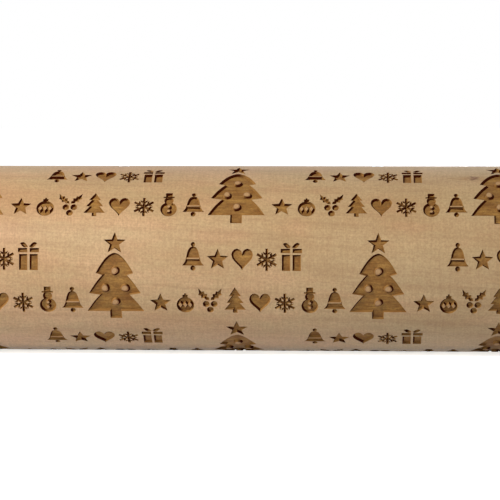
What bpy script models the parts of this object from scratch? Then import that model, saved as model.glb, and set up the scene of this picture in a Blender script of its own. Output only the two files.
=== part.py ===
"""An engraved rolling pin: a wooden barrel with a carved pattern, which spins on two ball bearings
round a steel axle, and a turned wooden handle clamped on each end of that axle.

The axle lies along X. The origin is the middle of the barrel's axis, and the pin rests on the
barrel's lowest flat. Metres, +Z up. Radii are measured to the flats of the facets, so that two
pieces of the same facet count keep an even gap all the way round.
"""

from math import asin, cos, pi, sin

import bmesh
import bpy
from mathutils import Matrix, Vector
from mathutils.geometry import delaunay_2d_cdt

# Facets and gaps
FACETS = 24
SEAT_GAP = 0.0003
MERGE = 0.000001
CUT_OVERRUN = 0.002
SMOOTH_ANGLE = pi / 5

# Barrel
BARREL_LENGTH = 0.250
BARREL_DIAMETER = 0.050
BARREL_EDGE_ROUNDING = 0.0015
BARREL_BORE_DIAMETER = 0.016
ROUNDING_STEPS = 3

# Carved pattern: the rows follow each other round the barrel, and each holds trees with a frieze of two
# lines of small figures between them. A row is a sixth of the way round high, and the step from row to
# row is a little more, so the last row stands a little closer to the first. The unrolled sheet starts on
# a facet edge between two rows.
ENGRAVING_DEPTH = 0.0006
ROWS = 6
COLUMNS = 3
PLAIN_MARGIN = 0.0124
STAGGER_SHARE = 0.46
FRIEZE_HALF_SHARE = 0.371
SNAP = 0.00025
SHEET_FIRST_FACET = 8
FIRST_ROW_SHARE = -0.495
ROW_STEP_SHARE = 1.01

# Ball bearings, one in each end of the barrel
BEARING_BORE_DIAMETER = 0.008
BEARING_OUTER_DIAMETER = 0.022
BEARING_WIDTH = 0.007
BEARING_INSET = 0.001
BALL_SHARE = 0.567
BALL_COUNT = 7
BALL_GAP = 0.0003
SHOULDER_SHARE = 0.77
SHIELD_SEAT_SHARE = 0.33
SHIELD_THICKNESS = 0.0003
SHIELD_RUNNING_GAP = 0.0004
CAGE_WEB = 0.00035
CAGE_THICKNESS_SHARE = 0.45
POCKET_SIDES = 10
GROOVE_STEPS = 4

# Axle, distance tube and thrust washers
AXLE_END_CHAMFER = 0.0006
AXLE_END_BEYOND_NUT = 0.002
SPACER_INSET = 0.00015
THRUST_WASHER_THICKNESS = 0.0027

# Handles
HANDLE_LENGTH = 0.084
HANDLE_DIAMETER = 0.029
HANDLE_NECK_DIAMETER = 0.018
HANDLE_BEAD_DIAMETER = 0.023
HANDLE_FACE_DIAMETER = 0.0175
HANDLE_TAIL_DIAMETER = 0.0245
HANDLE_BEAD_LENGTH = 0.007
HANDLE_BEAD_START = 0.0015
HANDLE_TAIL_ROUNDING = 0.002
BELLY_PLACE_SHARE = 0.58
COUNTERBORE_CLEARANCE = 0.0006
BELLY_STEPS = 6
BEAD_STEPS = 4

# Fasteners and end plugs
WASHER_DIAMETER = 0.016
WASHER_THICKNESS = 0.0016
NUT_ACROSS_FLATS = 0.013
NUT_THICKNESS = 0.008
NUT_CHAMFER = 0.0007
NUT_SIDES = 6
PLUG_SPIGOT_LENGTH = 0.003
PLUG_OVERLAP = 0.0013
PLUG_TO_AXLE = 0.0011
PLUG_HEAD_THICKNESS = 0.0034
PLUG_DOME_HEIGHT = 0.0024
PLUG_FACE_DIAMETER = 0.009
PLUG_STEPS = 3

# Worked-out sizes
ENDS = (("left", -1), ("right", 1))
BARREL_RADIUS = BARREL_DIAMETER / 2
AXLE_RADIUS = BEARING_BORE_DIAMETER / 2
SEAT_RADIUS = AXLE_RADIUS + SEAT_GAP
RACE_RADIUS = BEARING_OUTER_DIAMETER / 2
PITCH_RADIUS = (AXLE_RADIUS + RACE_RADIUS) / 2
BALL_RADIUS = BALL_SHARE * min(RACE_RADIUS - AXLE_RADIUS, BEARING_WIDTH) / 2
GROOVE_RADIUS = BALL_RADIUS + BALL_GAP
INNER_SHOULDER_RADIUS = PITCH_RADIUS - SHOULDER_SHARE * BALL_RADIUS
OUTER_SHOULDER_RADIUS = PITCH_RADIUS + SHOULDER_SHARE * BALL_RADIUS
SHIELD_SEAT_RADIUS = OUTER_SHOULDER_RADIUS + SHIELD_SEAT_SHARE * (RACE_RADIUS - OUTER_SHOULDER_RADIUS)
POCKET_RADIUS = GROOVE_RADIUS / cos(pi / POCKET_SIDES)
CAGE_WIDTH = 2 * (POCKET_RADIUS + CAGE_WEB)
CAGE_THICKNESS = 2 * CAGE_THICKNESS_SHARE * BALL_RADIUS
SPACER_RADIUS = INNER_SHOULDER_RADIUS - SPACER_INSET
BEARING_SEAT_RADIUS = RACE_RADIUS + SEAT_GAP
BEARING_SEAT_DEPTH = BEARING_INSET + BEARING_WIDTH + SEAT_GAP
BEARING_X = BARREL_LENGTH / 2 - BEARING_INSET - BEARING_WIDTH / 2
BEARING_FACE_X = BEARING_X + BEARING_WIDTH / 2
TUBE_LENGTH = 2 * (BEARING_X - BEARING_WIDTH / 2 - SEAT_GAP)
THRUST_WASHER_X = BEARING_FACE_X + SEAT_GAP
HANDLE_X = THRUST_WASHER_X + THRUST_WASHER_THICKNESS + SEAT_GAP
HANDLE_END_X = HANDLE_X + HANDLE_LENGTH
NUT_STACK = SEAT_GAP + WASHER_THICKNESS + NUT_THICKNESS + AXLE_END_BEYOND_NUT
COUNTERBORE_DEPTH = NUT_STACK + PLUG_TO_AXLE + PLUG_SPIGOT_LENGTH
COUNTERBORE_RADIUS = WASHER_DIAMETER / 2 + COUNTERBORE_CLEARANCE
WASHER_X = HANDLE_END_X - COUNTERBORE_DEPTH + SEAT_GAP
NUT_X = WASHER_X + WASHER_THICKNESS + SEAT_GAP
AXLE_LENGTH = 2 * (NUT_X + NUT_THICKNESS + AXLE_END_BEYOND_NUT)
PLUG_X = HANDLE_END_X + SEAT_GAP
ROW_HEIGHT = pi * BARREL_DIAMETER / ROWS
PATTERN_SPAN_SHARE = (COLUMNS - STAGGER_SHARE) / 2 + FRIEZE_HALF_SHARE
COLUMN_PITCH = (BARREL_LENGTH / 2 - PLAIN_MARGIN) / PATTERN_SPAN_SHARE

# The tree: widths are shares of its half-width, and heights shares of the row's height from the row's
# middle. Where an outline is the same on both sides, its right side is given, from the top.
TREE_HALF_WIDTH_SHARE = 0.1093
CROWN_TOP_SHARE = 0.24
CROWN_BOTTOM_SHARE = 0.037
CROWN_WIDTH_SHARE = 0.66
CROWN_CURVE = 1.8
CROWN_STEPS = 3
TIER_SIDE_SHARES = ((0.434, 0.018), (0.908, -0.17), (0.52, -0.189), (1.0, -0.375))
TRUNK_SHARES = ((0.205, -0.375), (0.205, -0.463))
STAR_CENTRE_SHARE = 0.336
STAR_RADIUS_SHARE = 0.1165
STAR_WIDTH_SHARE = 0.408
STAR_INNER_SHARE = 0.42
STAR_POINTS = 5
BALL_CENTRE_SHARES = ((0.0, 0.06), (-0.35, -0.118), (0.35, -0.118), (0.0, -0.271))
BALL_WIDTH_SHARE = 0.115
BALL_HEIGHT_SHARE = 0.0333
BALL_SIDES = 5

# The frieze: a figure's points are shares of its height from its middle. Heights and baselines are
# shares of the row's height, and steps and shifts along a line are shares of the column pitch.
SMALL_SHARE = 0.2215
TALL_SHARE = 0.2865
UPPER_LINE_SHARE = 0.065
UPPER_STEP_SHARE = 0.0936
UPPER_SHIFT_SHARE = -0.0146
LOWER_LINE_SHARE = -0.39
LOWER_STEP_SHARE = 0.0951
LOWER_SHIFT_SHARE = 0.0044
BELL_SHARES = ((0.09, 0.46), (0.24, 0.22), (0.38, -0.34), (0.09, -0.49))
HEART_SHARES = ((0.0, 0.3), (0.24, 0.47), (0.48, 0.2), (0.0, -0.5))
SNOWFLAKE_SHARES = ((0.0, 0.47), (0.4, 0.24), (0.4, -0.24), (0.0, -0.47))
GIFT_SHARES = ((0.0, 0.3), (0.24, 0.48), (0.37, 0.26), (0.34, -0.5))
BAUBLE_SHARES = ((0.12, 0.46), (0.4, -0.09), (0.16, -0.48))
FIR_SHARES = ((0.0, 0.5), (0.375, -0.4))
SNOWMAN_SHARES = ((0.14, 0.5), (0.3, -0.2), (0.16, -0.5))
LEAF_SHARES = ((0.03, 0.02), (0.1, 0.28), (0.41, 0.42), (0.3, 0.06))
SMALL_STAR_REACH_SHARE = 0.5
SMALL_STAR_INNER_SHARE = 0.45


def clear_scene():
    for thing in list(bpy.data.objects):
        bpy.data.objects.remove(thing, do_unlink=True)


def principled(name, colour, roughness, metallic=0.0):
    material = bpy.data.materials.new(name)
    material.use_nodes = True
    shader = material.node_tree.nodes["Principled BSDF"]
    shader.inputs["Base Color"].default_value = (*colour, 1.0)
    shader.inputs["Roughness"].default_value = roughness
    shader.inputs["Metallic"].default_value = metallic
    material.diffuse_color = (*colour, 1.0)
    return material


def empty(name, x=0.0, parent=None):
    """A turning centre on the axle, which the pieces that turn together hang from."""
    holder = bpy.data.objects.new(name, None)
    bpy.context.scene.collection.objects.link(holder)
    holder.parent = parent
    holder.location.x = x
    return holder


def mesh_of(name, build):
    """The closed mesh in a bmesh, with its normals facing out, shaded smooth but for its sharp edges."""
    bmesh.ops.remove_doubles(build, verts=build.verts, dist=MERGE)
    bmesh.ops.recalc_face_normals(build, faces=build.faces)
    mesh = bpy.data.meshes.new(name)
    build.to_mesh(mesh)
    build.free()
    mesh.shade_smooth()
    mesh.set_sharp_from_angle(angle=SMOOTH_ANGLE)
    return mesh


def piece(name, mesh, material, parent, x=0.0, turned_round=False):
    """A piece on the axle. One for the left end shares the right end's mesh, turned half round."""
    if not mesh.materials:
        mesh.materials.append(material)
    made = bpy.data.objects.new(name, mesh)
    bpy.context.scene.collection.objects.link(made)
    made.parent = parent
    made.location.x = x
    if turned_round:
        made.rotation_euler.z = pi
    return made


def cutter(name, mesh):
    made = bpy.data.objects.new(name, mesh)
    bpy.context.scene.collection.objects.link(made)
    made.hide_render = True
    made.display_type = "WIRE"
    return made


def cut_away(body, tool):
    modifier = body.modifiers.new("cut", "BOOLEAN")
    modifier.operation = "DIFFERENCE"
    modifier.solver = "EXACT"
    modifier.object = tool


def ring_angle(index, facets=FACETS):
    """The angle of a facet edge, counted from the lower edge of the flat that faces down."""
    return -pi / 2 + (index - 0.5) * 2 * pi / facets


def round_point(x, radius, angle, facets=FACETS):
    """A facet edge's point: angle 0 faces the front, -Y, and a quarter turn is up, +Z."""
    reach = radius / cos(pi / facets)
    return Vector((x, -reach * cos(angle), reach * sin(angle)))


def turned(name, profile, facets=FACETS):
    """A lathe shape about X. The profile is (x, radius) points: a closed loop, or a line that starts
    and ends on the axis."""
    build = bmesh.new()
    seam = ring_angle(0, facets)
    corners = [build.verts.new(round_point(x, radius, seam, facets)) for x, radius in profile]
    edges = [build.edges.new(pair) for pair in zip(corners, corners[1:])]
    if profile[0][1] > 0:
        edges.append(build.edges.new((corners[-1], corners[0])))
    bmesh.ops.spin(
        build,
        geom=corners + edges,
        cent=(0, 0, 0),
        axis=(1, 0, 0),
        angle=2 * pi,
        steps=facets,
        use_merge=True,
        use_duplicate=False,
    )
    return mesh_of(name, build)


def tube_profile(start, end, inner, outer):
    return [(start, inner), (start, outer), (end, outer), (end, inner)]


def mirrored(profile):
    """The same profile on the other side of its middle, followed the other way."""
    return [(-x, radius) for x, radius in reversed(profile)]


def arc(centre_x, centre_radius, radius, start, end, steps):
    """(x, radius) points on a circle: angle 0 points along +X, and a quarter turn away from the axis."""
    angles = [start + (end - start) * step / steps for step in range(steps + 1)]
    return [(centre_x + radius * cos(a), centre_radius + radius * sin(a)) for a in angles]


def both_sides(right):
    """A closed outline from its right side's points, from the top down."""
    return [*right, *[(-across, up) for across, up in reversed(right) if across > 0]]


def star_outline(width, height, inner, centre=0.0):
    outline = []
    for index in range(2 * STAR_POINTS):
        reach = inner if index % 2 else 1.0
        angle = pi / 2 - index * pi / STAR_POINTS
        outline.append((reach * width * cos(angle), centre + reach * height * sin(angle)))
    return outline


def tree_outlines():
    """The tree and its star, then the balls left standing in it."""
    drop = CROWN_TOP_SHARE - CROWN_BOTTOM_SHARE
    steps = [step / CROWN_STEPS for step in range(1, CROWN_STEPS + 1)]
    crown = [(CROWN_WIDTH_SHARE * step, CROWN_TOP_SHARE - drop * step**CROWN_CURVE) for step in steps]
    tree = both_sides([(0.0, CROWN_TOP_SHARE), *crown, *TIER_SIDE_SHARES, *TRUNK_SHARES])
    star = star_outline(STAR_WIDTH_SHARE, STAR_RADIUS_SHARE, STAR_INNER_SHARE, STAR_CENTRE_SHARE)
    angles = [pi / 2 - 2 * pi * side / BALL_SIDES for side in range(BALL_SIDES)]
    width, height = BALL_WIDTH_SHARE, BALL_HEIGHT_SHARE
    balls = []
    for across, up in BALL_CENTRE_SHARES:
        balls.append([(across + width * cos(a), up + height * sin(a)) for a in angles])
    return [tree, star], balls


def frieze_lines():
    """The frieze's two lines: baseline, shift, step and figures from left to right. A figure is
    (outlines, height)."""
    reach = SMALL_STAR_REACH_SHARE
    star = [star_outline(reach, reach, SMALL_STAR_INNER_SHARE)]
    holly = [LEAF_SHARES, [(-across, up) for across, up in reversed(LEAF_SHARES)]]
    small, tall = SMALL_SHARE, TALL_SHARE
    star, holly = (star, small), (holly, tall)
    bell, gift = ([both_sides(BELL_SHARES)], tall), ([both_sides(GIFT_SHARES)], tall)
    fir, snowman = ([both_sides(FIR_SHARES)], tall), ([both_sides(SNOWMAN_SHARES)], tall)
    heart, bauble = ([both_sides(HEART_SHARES)], small), ([both_sides(BAUBLE_SHARES)], small)
    flake = ([both_sides(SNOWFLAKE_SHARES)], small)
    upper = [bell, star, heart, flake, gift]
    lower = [star, bauble, holly, fir, heart, flake, snowman, bell]
    return (
        (UPPER_LINE_SHARE, UPPER_SHIFT_SHARE, UPPER_STEP_SHARE, upper),
        (LOWER_LINE_SHARE, LOWER_SHIFT_SHARE, LOWER_STEP_SHARE, lower),
    )


def placed(outlines, x, s, width, height):
    """Clockwise outlines, set on the unrolled barrel as (x, distance round)."""
    return [[(x + across * width, s + up * height) for across, up in outline] for outline in outlines]


def engraved_outlines():
    """Every carved outline on the unrolled barrel, then every outline left standing in one."""
    carved, standing = [], []
    tree, balls = tree_outlines()
    half_width = TREE_HALF_WIDTH_SHARE * COLUMN_PITCH
    for row in range(ROWS):
        side = 1 if row % 2 else -1
        s = (FIRST_ROW_SHARE + row * ROW_STEP_SHARE) % ROWS * ROW_HEIGHT
        for column in range(COLUMNS):
            x = (column - (COLUMNS - 1) / 2 + side * STAGGER_SHARE / 2) * COLUMN_PITCH
            carved += placed(tree, x, s, half_width, ROW_HEIGHT)
            standing += placed(balls, x, s, half_width, ROW_HEIGHT)
            for line, shift, step, figures in frieze_lines():
                for index, (outlines, share) in enumerate(figures):
                    place = shift + (index - (len(figures) - 1) / 2) * step - side / 2
                    height = share * ROW_HEIGHT
                    middle = s + line * ROW_HEIGHT + height / 2
                    carved += placed(outlines, x + place * COLUMN_PITCH, middle, height, height)
    return carved, standing


def snapped(s, facet_width):
    """A distance round that falls very near a facet edge is set onto that edge, so no sliver is left."""
    edge = round(s / facet_width) * facet_width
    return edge if abs(s - edge) < SNAP else s


def unrolled_sheet(half_length, carved, standing):
    """The unrolled side of the barrel, cut along facet edges and outlines into triangles: its points,
    its triangles, and whether each triangle is carved."""
    around = pi * BARREL_DIAMETER
    facet_width = around / FACETS
    points, edges, faces = [], [], []
    for facet in range(FACETS + 1):
        points += [Vector((-half_length, facet * facet_width)), Vector((half_length, facet * facet_width))]
        edges.append((2 * facet, 2 * facet + 1))
    last = 2 * FACETS
    edges += [(0, last), (1, last + 1)]
    for outline in carved + standing:
        first = len(points)
        points += [Vector((x, snapped(s, facet_width))) for x, s in reversed(outline)]
        faces.append(list(range(first, len(points))))
    found = delaunay_2d_cdt(points, edges, faces, 0, MERGE, True)
    lowest = [max(inside) < len(carved) if inside else False for inside in found[5]]
    return found[0], found[2], lowest


def barrel_mesh():
    """The barrel: the carved side, folded from the unrolled sheet, then its ends and its stepped bore."""
    half = BARREL_LENGTH / 2
    side_end = half - BARREL_EDGE_ROUNDING
    points, triangles, lowered = unrolled_sheet(side_end, *engraved_outlines())
    build = bmesh.new()
    folded = {}

    def corner(index, carved):
        """A point of the sheet on a flat facet of the barrel's side, or on the floor of its pocket."""
        if (index, carved) not in folded:
            x, s = points[index]
            radius = BARREL_RADIUS - ENGRAVING_DEPTH * carved
            place = s / (pi * BARREL_DIAMETER) * FACETS
            facet = min(int(place + MERGE), FACETS - 1)
            low = round_point(x, radius, ring_angle(SHEET_FIRST_FACET + facet))
            high = round_point(x, radius, ring_angle(SHEET_FIRST_FACET + facet + 1))
            folded[index, carved] = build.verts.new(low.lerp(high, place - facet))
        return folded[index, carved]

    levels = {}
    for triangle, carved in zip(triangles, lowered):
        build.faces.new([corner(index, carved) for index in triangle])
        for start, end in zip(triangle, triangle[1:] + triangle[:1]):
            levels.setdefault(frozenset((start, end)), []).append((start, end, carved))
    for sides in levels.values():
        if len(sides) == 2 and sides[0][2] != sides[1][2]:
            start, end = sides[0][:2]
            wall = [corner(start, False), corner(end, False), corner(end, True), corner(start, True)]
            build.faces.new(wall)

    edge = BARREL_EDGE_ROUNDING
    rounding = arc(side_end, BARREL_RADIUS - edge, edge, pi / 2, 0, ROUNDING_STEPS)
    seat_floor = half - BEARING_SEAT_DEPTH
    bore = BARREL_BORE_DIAMETER / 2
    stepped = [(half, BEARING_SEAT_RADIUS), (seat_floor, BEARING_SEAT_RADIUS), (seat_floor, bore)]
    right = rounding + stepped
    profile = right + mirrored(right)
    rings = []
    for x, radius in profile:
        rings.append([build.verts.new(round_point(x, radius, ring_angle(i))) for i in range(FACETS)])
    for near, far in zip(rings, rings[1:]):
        for i in range(FACETS):
            after = (i + 1) % FACETS
            build.faces.new((near[i], near[after], far[after], far[i]))
    return mesh_of("barrel", build)


def outer_race_mesh():
    """The outer ring of a bearing, with the ball groove inside and a step for each shield."""
    half = BEARING_WIDTH / 2
    step_x = half - SHIELD_THICKNESS - SEAT_GAP
    edge = asin((OUTER_SHOULDER_RADIUS - PITCH_RADIUS) / GROOVE_RADIUS)
    groove = arc(0, PITCH_RADIUS, GROOVE_RADIUS, edge, pi - edge, GROOVE_STEPS)
    step = [(step_x, SHIELD_SEAT_RADIUS), (step_x, OUTER_SHOULDER_RADIUS)]
    right = [(half, RACE_RADIUS), (half, SHIELD_SEAT_RADIUS), *step]
    return turned("outer_race", right + groove + mirrored(right))


def inner_race_mesh():
    """The inner ring of a bearing, with the ball groove outside."""
    half = BEARING_WIDTH / 2
    edge = asin((INNER_SHOULDER_RADIUS - PITCH_RADIUS) / GROOVE_RADIUS)
    groove = arc(0, PITCH_RADIUS, GROOVE_RADIUS, edge, -pi - edge, GROOVE_STEPS)
    right = [(half, SEAT_RADIUS), (half, INNER_SHOULDER_RADIUS)]
    return turned("inner_race", right + groove + mirrored(right))


def shield_mesh():
    """A thin ring that sits in the outer race and clears the inner race."""
    inner = INNER_SHOULDER_RADIUS + SHIELD_RUNNING_GAP
    outer = SHIELD_SEAT_RADIUS - SEAT_GAP
    half = SHIELD_THICKNESS / 2
    return turned("shield", tube_profile(-half, half, inner, outer))


def ball_angle(index):
    return index * 2 * pi / BALL_COUNT


def ball_mesh():
    build = bmesh.new()
    bmesh.ops.create_icosphere(build, subdivisions=2, radius=BALL_RADIUS)
    return mesh_of("bearing_ball", build)


def pockets_mesh():
    """Round cutters that point out from the axle, one for each ball."""
    build = bmesh.new()
    for index in range(BALL_COUNT):
        outward = Matrix.Rotation(ball_angle(index) - pi / 2, 4, "X")
        bmesh.ops.create_cone(
            build,
            cap_ends=True,
            segments=POCKET_SIDES,
            radius1=POCKET_RADIUS,
            radius2=POCKET_RADIUS,
            depth=CAGE_THICKNESS + CUT_OVERRUN,
            matrix=outward @ Matrix.Translation((0, 0, PITCH_RADIUS)),
        )
    return mesh_of("cage_pockets", build)


def cage_mesh():
    inner, outer = PITCH_RADIUS - CAGE_THICKNESS / 2, PITCH_RADIUS + CAGE_THICKNESS / 2
    return turned("ball_cage", tube_profile(-CAGE_WIDTH / 2, CAGE_WIDTH / 2, inner, outer))


def axle_mesh():
    half, inset = AXLE_LENGTH / 2, AXLE_RADIUS - AXLE_END_CHAMFER
    right = [(half - AXLE_END_CHAMFER, AXLE_RADIUS), (half, inset), (half, 0)]
    return turned("axle_rod", mirrored(right) + right)


def handle_mesh():
    """A wooden handle from its face beside the barrel: a bead, a neck, a swelling and a rounded tail,
    with a bore for the axle and a wide counterbore for the nut."""
    neck, belly, tail = HANDLE_NECK_DIAMETER / 2, HANDLE_DIAMETER / 2, HANDLE_TAIL_DIAMETER / 2
    face, bead = HANDLE_FACE_DIAMETER / 2, HANDLE_BEAD_DIAMETER / 2
    profile = [(0, SEAT_RADIUS), (0, face)]
    for step in range(BEAD_STEPS + 1):
        share = step / BEAD_STEPS
        base = face + (neck - face) * share
        x = HANDLE_BEAD_START + HANDLE_BEAD_LENGTH * share
        profile.append((x, base + (bead - base) * sin(pi * share)))
    belly_start = HANDLE_BEAD_START + HANDLE_BEAD_LENGTH
    belly_end = HANDLE_LENGTH - HANDLE_TAIL_ROUNDING
    for step in range(1, BELLY_STEPS):
        share = step / BELLY_STEPS
        if share < BELLY_PLACE_SHARE:
            radius = neck + (belly - neck) * (1 - cos(pi * share / BELLY_PLACE_SHARE)) / 2
        else:
            fall = (share - BELLY_PLACE_SHARE) / (1 - BELLY_PLACE_SHARE)
            radius = tail + (belly - tail) * (1 + cos(pi * fall)) / 2
        profile.append((belly_start + (belly_end - belly_start) * share, radius))
    edge = HANDLE_TAIL_ROUNDING
    profile += arc(belly_end, tail - edge, edge, pi / 2, 0, ROUNDING_STEPS)
    floor = HANDLE_LENGTH - COUNTERBORE_DEPTH
    profile += [(HANDLE_LENGTH, COUNTERBORE_RADIUS), (floor, COUNTERBORE_RADIUS), (floor, SEAT_RADIUS)]
    return turned("handle", profile)


def nut_blank_mesh():
    """The nut's hexagon, before its bore is cut."""
    flat, inset = NUT_ACROSS_FLATS / 2, NUT_ACROSS_FLATS / 2 - NUT_CHAMFER
    near = [(0, 0), (0, inset), (NUT_CHAMFER, flat)]
    far = [(NUT_THICKNESS - x, radius) for x, radius in reversed(near)]
    return turned("lock_nut", near + far, NUT_SIDES)


def nut_bore_mesh():
    near, far = -CUT_OVERRUN, NUT_THICKNESS + CUT_OVERRUN
    return turned("nut_bore", [(near, 0), (near, SEAT_RADIUS), (far, SEAT_RADIUS), (far, 0)])


def plug_mesh():
    """A wooden button that closes the handle: a spigot in the counterbore, and a domed head outside."""
    spigot, head = COUNTERBORE_RADIUS - SEAT_GAP, COUNTERBORE_RADIUS + PLUG_OVERLAP
    face = PLUG_FACE_DIAMETER / 2
    rim = PLUG_HEAD_THICKNESS - PLUG_DOME_HEIGHT
    profile = [(-PLUG_SPIGOT_LENGTH, 0), (-PLUG_SPIGOT_LENGTH, spigot), (0, spigot), (0, head)]
    for step in range(PLUG_STEPS + 1):
        angle = pi / 2 * step / PLUG_STEPS
        profile.append((rim + PLUG_DOME_HEIGHT * sin(angle), face + (head - face) * cos(angle)))
    return turned("end_plug", [*profile, (PLUG_HEAD_THICKNESS, 0)])


def washer_mesh(name, thickness, radius):
    return turned(name, tube_profile(0, thickness, SEAT_RADIUS, radius))


def build_barrel(holder, wood, steel, zinc):
    """The barrel with what is pressed into it, and so turns with it."""
    piece("barrel", barrel_mesh(), wood, holder)
    race, shield = outer_race_mesh(), shield_mesh()
    shield_reach = (BEARING_WIDTH - SHIELD_THICKNESS) / 2
    for end, side in ENDS:
        back = side < 0
        piece("outer_race_" + end, race, steel, holder, side * BEARING_X, back)
        piece("outer_shield_" + end, shield, zinc, holder, side * (BEARING_X + shield_reach), back)
        piece("inner_shield_" + end, shield, zinc, holder, side * (BEARING_X - shield_reach), back)


def build_cages(root, nylon, steel):
    """The ball cages. Each turns round the axle by itself, at a share of the barrel's speed."""
    cage, ball, pockets = cage_mesh(), ball_mesh(), pockets_mesh()
    for end, side in ENDS:
        holder = empty("cage_spin_" + end, side * BEARING_X, root)
        body = piece("ball_cage_" + end, cage, nylon, holder)
        tool = cutter("cage_pockets_" + end, pockets)
        tool.parent = body
        cut_away(body, tool)
        for index in range(BALL_COUNT):
            made = piece(f"bearing_ball_{end}_{index + 1}", ball, steel, holder)
            angle = ball_angle(index)
            made.location.y = PITCH_RADIUS * cos(angle)
            made.location.z = PITCH_RADIUS * sin(angle)


def build_axle(root, steel, zinc):
    """The axle with the races and spacers that the handles clamp on it."""
    piece("axle_rod", axle_mesh(), steel, root)
    half = TUBE_LENGTH / 2
    tube = turned("distance_tube", tube_profile(-half, half, SEAT_RADIUS, SPACER_RADIUS))
    piece("distance_tube", tube, zinc, root)
    race = inner_race_mesh()
    spacer = washer_mesh("thrust_washer", THRUST_WASHER_THICKNESS, SPACER_RADIUS)
    for end, side in ENDS:
        back = side < 0
        piece("inner_race_" + end, race, steel, root, side * BEARING_X, back)
        piece("thrust_washer_" + end, spacer, zinc, root, side * THRUST_WASHER_X, back)


def build_handles(root, wood, zinc):
    """Each handle with the washer and nut in its tail, and the plug that hides them."""
    handle, plug, blank, bore = handle_mesh(), plug_mesh(), nut_blank_mesh(), nut_bore_mesh()
    washer = washer_mesh("handle_washer", WASHER_THICKNESS, WASHER_DIAMETER / 2)
    for end, side in ENDS:
        back = side < 0
        piece("handle_" + end, handle, wood, root, side * HANDLE_X, back)
        piece("handle_washer_" + end, washer, zinc, root, side * WASHER_X, back)
        nut = piece("lock_nut_" + end, blank, zinc, root, side * NUT_X, back)
        tool = cutter("nut_bore_" + end, bore)
        tool.parent = nut
        cut_away(nut, tool)
        piece("end_plug_" + end, plug, wood, root, side * PLUG_X, back)


def build_rolling_pin():
    clear_scene()
    barrel_wood = principled("barrel_wood", (0.62, 0.43, 0.24), 0.5)
    handle_wood = principled("handle_wood", (0.62, 0.43, 0.24), 0.45)
    steel = principled("bearing_steel", (0.62, 0.62, 0.64), 0.22, 1.0)
    zinc = principled("zinc_plated_steel", (0.55, 0.56, 0.58), 0.35, 1.0)
    nylon = principled("cage_nylon", (0.06, 0.06, 0.06), 0.5)
    root = empty("axle_centre")
    build_axle(root, steel, zinc)
    build_handles(root, handle_wood, zinc)
    build_cages(root, nylon, steel)
    build_barrel(empty("barrel_spin", parent=root), barrel_wood, steel, zinc)


build_rolling_pin()
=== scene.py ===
"""The look of an engraved rolling pin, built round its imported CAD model.

The barrel is carved again with finer outlines on a rounder side, and the turned pieces that show are made
again with round sides. Metres, +Z up, and the axle along X. An angle round the axle is 0 at the front, -Y,
and a quarter turn is up, +Z.
"""

from bisect import bisect
from math import cos, pi, radians, sin, sqrt, tan

import bmesh
import bpy
from mathutils import Matrix, Vector
from mathutils.geometry import delaunay_2d_cdt


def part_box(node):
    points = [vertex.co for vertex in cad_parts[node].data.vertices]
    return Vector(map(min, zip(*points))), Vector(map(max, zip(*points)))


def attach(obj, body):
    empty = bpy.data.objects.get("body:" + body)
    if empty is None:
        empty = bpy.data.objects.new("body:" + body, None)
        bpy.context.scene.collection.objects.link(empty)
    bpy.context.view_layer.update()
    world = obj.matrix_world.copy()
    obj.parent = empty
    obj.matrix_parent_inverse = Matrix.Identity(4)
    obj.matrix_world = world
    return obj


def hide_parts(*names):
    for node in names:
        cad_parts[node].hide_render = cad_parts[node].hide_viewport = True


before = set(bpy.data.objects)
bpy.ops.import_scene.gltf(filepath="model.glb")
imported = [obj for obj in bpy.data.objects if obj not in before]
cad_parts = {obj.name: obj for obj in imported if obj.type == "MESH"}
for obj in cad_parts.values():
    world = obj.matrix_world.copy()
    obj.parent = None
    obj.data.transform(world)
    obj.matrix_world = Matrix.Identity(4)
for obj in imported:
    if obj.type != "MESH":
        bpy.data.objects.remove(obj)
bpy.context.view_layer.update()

MM = 0.001
ENDS = (("left", -1), ("right", 1))
ROOT = "axle_and_handles"

# Barrel. The rows step by ROW_STEP_SHARE of an even sixth, and the seam of the unrolled sheet lies behind.
BARREL_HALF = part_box("barrel")[1].x
BARREL_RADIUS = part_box("barrel")[1].z
BARREL_EDGE = 0.0015
BORE_RADIUS = 0.008
SEAT_RADIUS = 0.0113
SEAT_DEPTH = 0.0083
HOLE_CHAMFER = 0.0004
ENGRAVING_DEPTH = 0.0006
ROWS = 6
FACETS_PER_ROW = 30
FACETS = ROWS * FACETS_PER_ROW
FIRST_ROW = radians(-7.2)
ROW_STEP_SHARE = 1.01
SEAM_ANGLE = FIRST_ROW - pi / ROWS + (ROWS - 1) / 2 * (ROW_STEP_SHARE - 1) * 2 * pi / ROWS

# The kinds of the barrel's faces, in the order of its materials
WOOD, FLOOR, WALL, TOASTED, SCORCHED_AND_SHADED = range(5)

# The carved pattern, in millimetres on the unrolled barrel. A point within SNAP of a line between two facets
# is moved onto it, and what is within FINEST is one place.
ROW_HEIGHT = 2 * pi * BARREL_RADIUS / ROWS / MM
FACET_HEIGHT = ROW_HEIGHT / FACETS_PER_ROW
COLUMNS = 3
COLUMN_PITCH = 68.61
STAGGER = 0.46
UPPER_LINE, UPPER_SHIFT, UPPER_STEP = 1.7, -1.0, 6.4
LOWER_LINE, LOWER_SHIFT, LOWER_STEP = -10.2, 0.3, 6.5
SMALL, TALL = 5.8, 7.5
WALL_DRAFT = 0.34
DRAFT_TO_UNLIT = 0.45
MOST_MITRE = 1.6
# Right and down along the barrel's side, away from the key lamp. Walls that face this way slope more, and
# are coloured darker as painted shade.
UNLIT_RIGHT, UNLIT_DOWN = 0.85, -0.35
SNAP = 0.04
FINEST = 1e-4

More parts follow.
